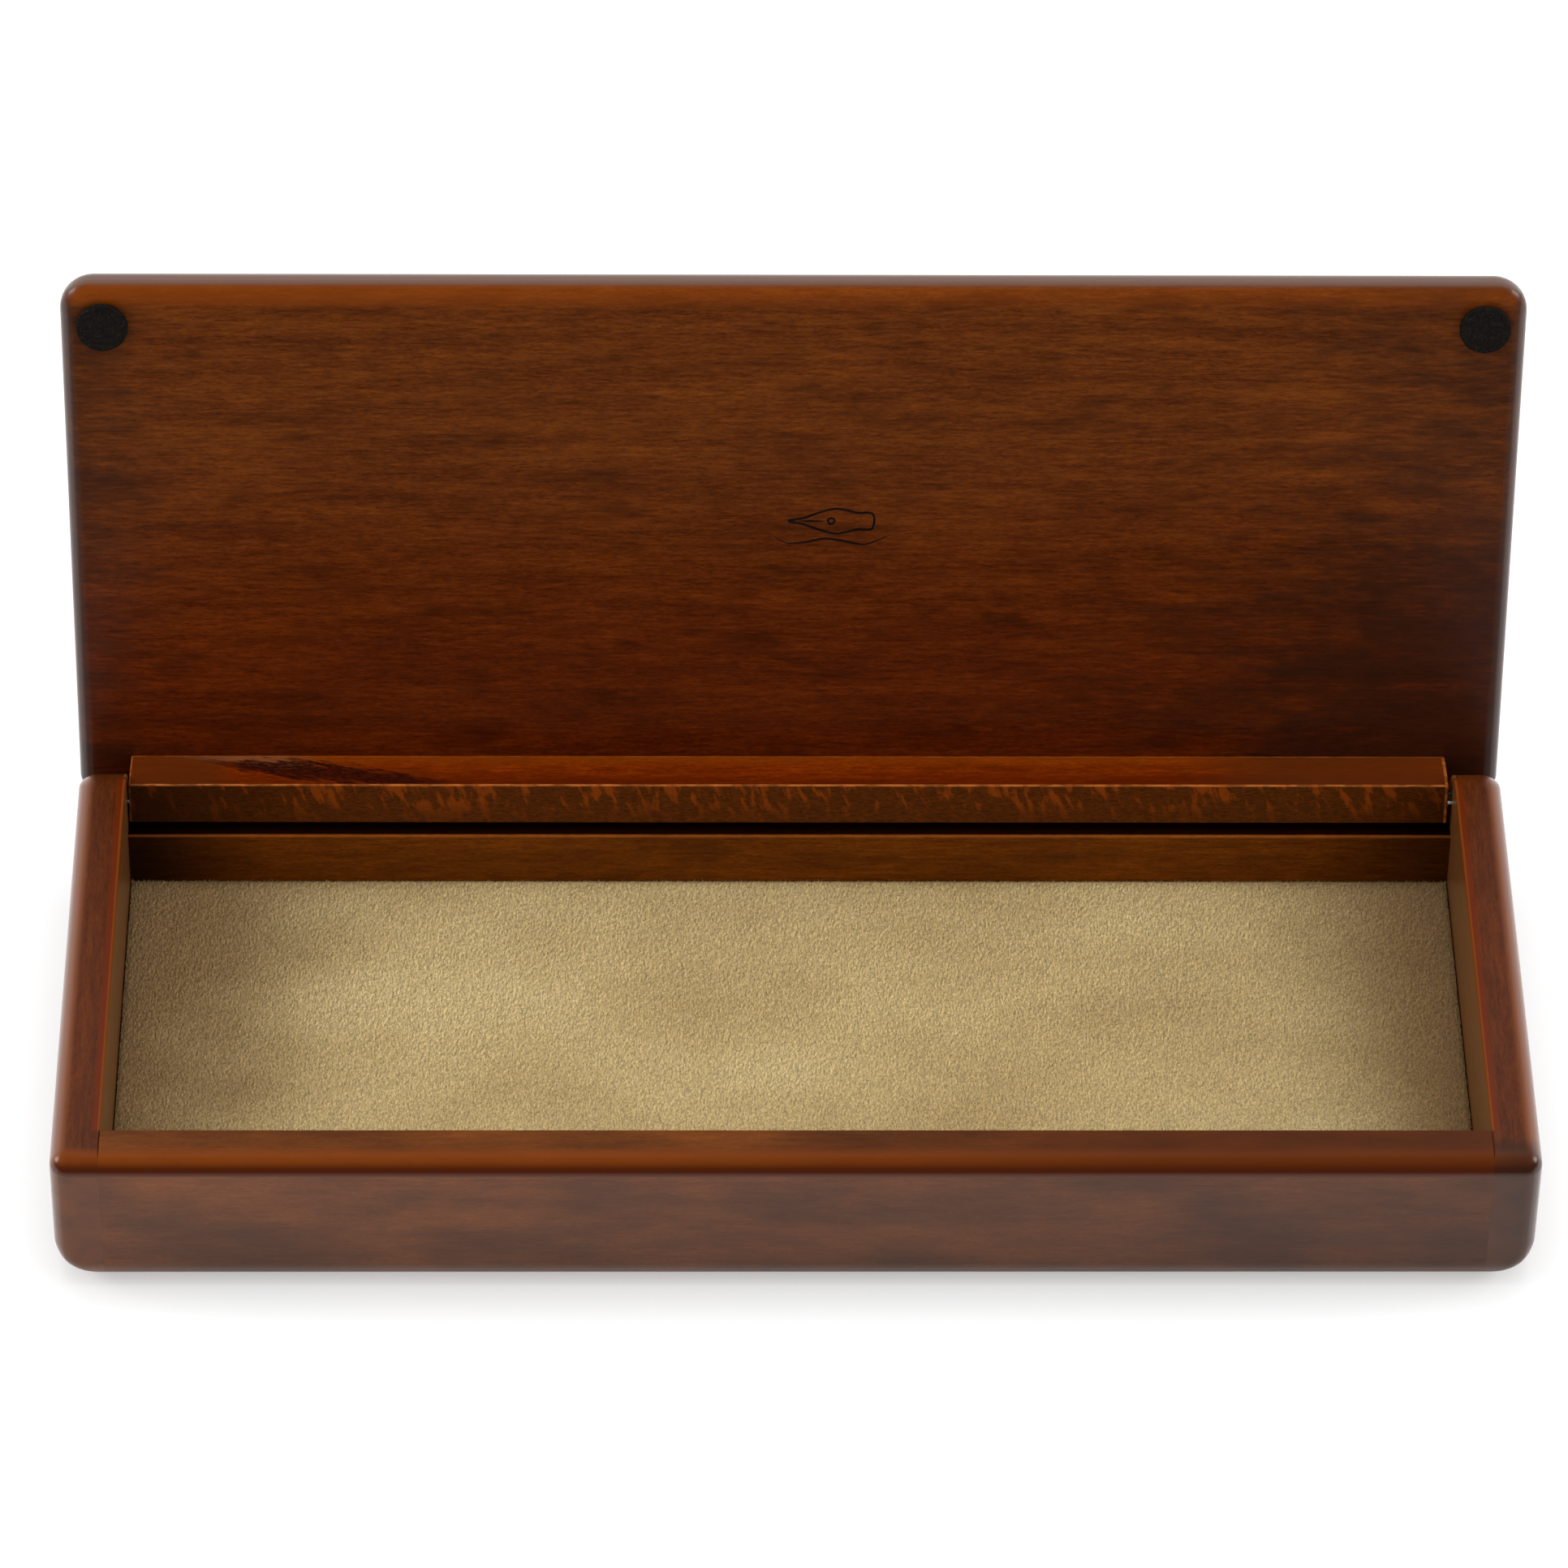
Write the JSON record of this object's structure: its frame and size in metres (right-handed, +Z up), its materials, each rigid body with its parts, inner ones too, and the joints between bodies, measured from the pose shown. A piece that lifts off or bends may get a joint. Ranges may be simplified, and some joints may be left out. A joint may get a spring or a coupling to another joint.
{
  "type": "fountain pen case",
  "caption": "Shallow stained wood case with a suede-lined tray and a pin-hinged lid standing open, for storing fountain pens.",
  "frame": {"origin": "on the underside, at the middle of the tray", "axes": "+X to the right along the length of the case, +Y to the back where the lid is hinged, +Z up"},
  "size_m": [0.2412, 0.1241, 0.1133],
  "materials": {
    "stained_wood": "satin varnish over a red-brown stain, grain showing",
    "plywood": "plain sanded plywood",
    "dowel_wood": "plain beech, glued in, hidden",
    "greyboard": "plain board under the lining",
    "suede": "golden beige synthetic suede with a short brushed nap",
    "felt": "black pressed felt",
    "adhesive": "clear adhesive film",
    "pin_steel": "plain drawn steel wire"
  },
  "bodies": {
    "tray": {"bottom_panel": "plywood", "front_wall": "stained_wood", "left_side_wall": "stained_wood", "right_side_wall": "stained_wood", "rear_wall": "stained_wood", "liner_board": "greyboard", "suede_lining": "suede", "front_left_dowel_lower": "dowel_wood", "front_left_dowel_upper": "dowel_wood", "front_right_dowel_lower": "dowel_wood", "front_right_dowel_upper": "dowel_wood", "rear_left_dowel_lower": "dowel_wood", "rear_left_dowel_upper": "dowel_wood", "rear_right_dowel_lower": "dowel_wood", "rear_right_dowel_upper": "dowel_wood"},
    "lid": {"lid_board": "stained_wood", "hinge_rail": "stained_wood", "rail_dowel_left": "dowel_wood", "rail_dowel_middle": "dowel_wood", "rail_dowel_right": "dowel_wood", "hinge_pin_left": "pin_steel", "hinge_pin_right": "pin_steel", "felt_pad_left": "felt", "felt_pad_right": "felt", "pad_adhesive_left": "adhesive", "pad_adhesive_right": "adhesive"}
  },
  "joints": [
    {"name": "lid_hinge", "type": "hinge", "parent": "tray", "child": "lid", "pos_m": [0, 0.04485, 0.0222], "axis": [1, 0, 0], "range_deg": [0, 99.6]}
  ]
}
